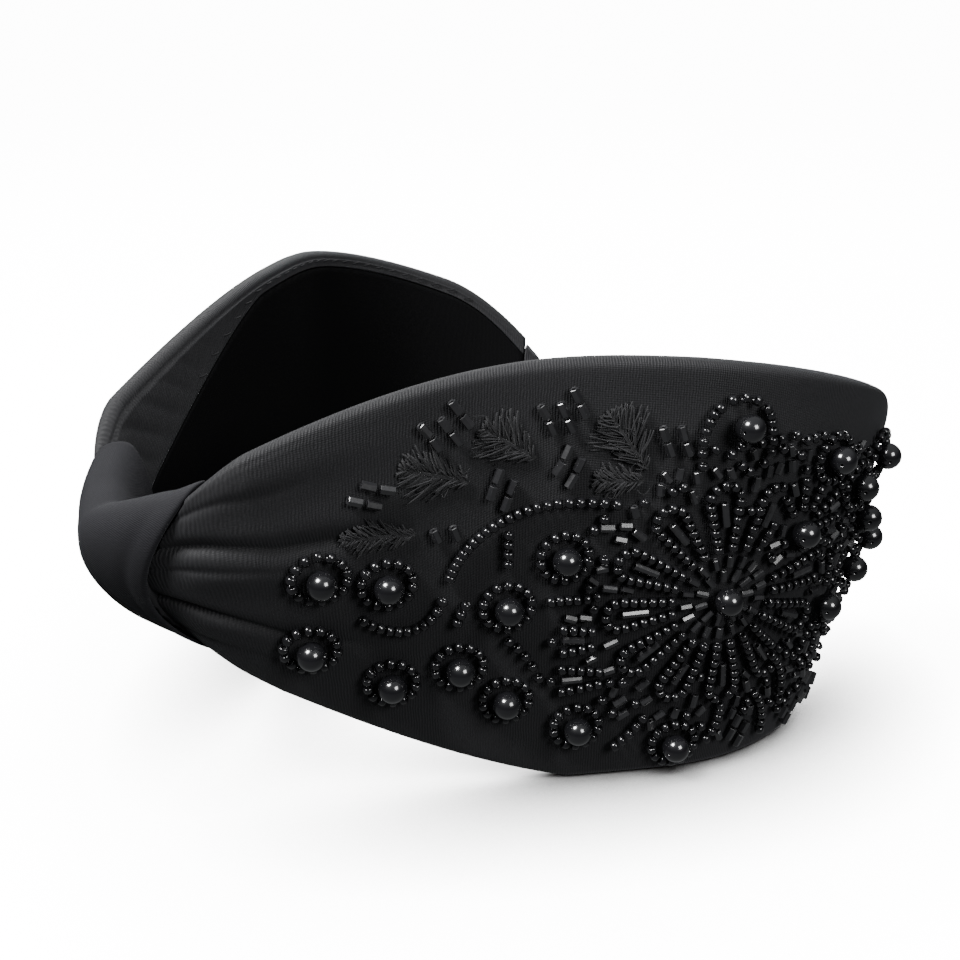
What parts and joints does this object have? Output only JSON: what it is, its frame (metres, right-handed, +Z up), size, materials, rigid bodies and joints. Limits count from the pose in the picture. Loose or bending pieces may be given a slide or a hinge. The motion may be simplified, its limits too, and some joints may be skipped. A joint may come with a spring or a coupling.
{
  "type": "headband",
  "caption": "Wide U-shaped knotted fabric headband with a springy core; both arms carry embroidered pearls, seed beads, bugles and thread leaves.",
  "frame": {"origin": "centre of the bounding box on the surface that the headband lies on", "axes": "+Z up as it lies on its long edge, +X from the open side to the knot, +Y towards the left arm"},
  "size_m": [0.1533, 0.1386, 0.082],
  "materials": {
    "cloth": "fine ribbed black cloth with a slight sheen",
    "wrap_cloth": "smooth black twill",
    "lining": "plain matt black lining",
    "pad": "soft grey interlining felt",
    "core": "springy black plastic",
    "pearl": "glossy black pearl",
    "seed": "glossy black glass",
    "bugle": "glossy black cut glass",
    "thread": "matt black embroidery thread"
  },
  "bodies": {
    "knot": {"knot_wrap": "wrap_cloth", "knot_bundle": "cloth", "wrap_stitches": "thread", "core_sleeve": "lining", "core_band": "core"},
    "left_arm": {"left_cover": "cloth", "left_pad": "pad", "left_lining": "lining", "left_hem_stitches": "thread", "left_end_cuff": "cloth", "left_pearls": "pearl", "left_ring_beads": "seed", "left_string_beads": "seed", "left_long_bugles": "bugle", "left_cut_bugles": "bugle", "left_thread_leaves": "thread"},
    "right_arm": {"right_cover": "cloth", "right_pad": "pad", "right_lining": "lining", "right_hem_stitches": "thread", "right_end_cuff": "cloth", "right_pearls": "pearl", "right_ring_beads": "seed", "right_string_beads": "seed", "right_long_bugles": "bugle", "right_cut_bugles": "bugle", "right_thread_leaves": "thread"}
  },
  "joints": [
    {"name": "left_arm_spread", "type": "hinge", "parent": "knot", "child": "left_arm", "pos_m": [0.0581, 0.0133, 0.048], "axis": [0, 0, -1], "range_deg": [0, 7], "stiffness_Nm_per_rad": 3.5, "deforming": ["core_band"]},
    {"name": "right_arm_spread", "type": "hinge", "parent": "knot", "child": "right_arm", "pos_m": [0.0581, -0.0133, 0.048], "axis": [0, 0, 1], "range_deg": [0, 7], "stiffness_Nm_per_rad": 3.5, "deforming": ["core_band"]}
  ]
}
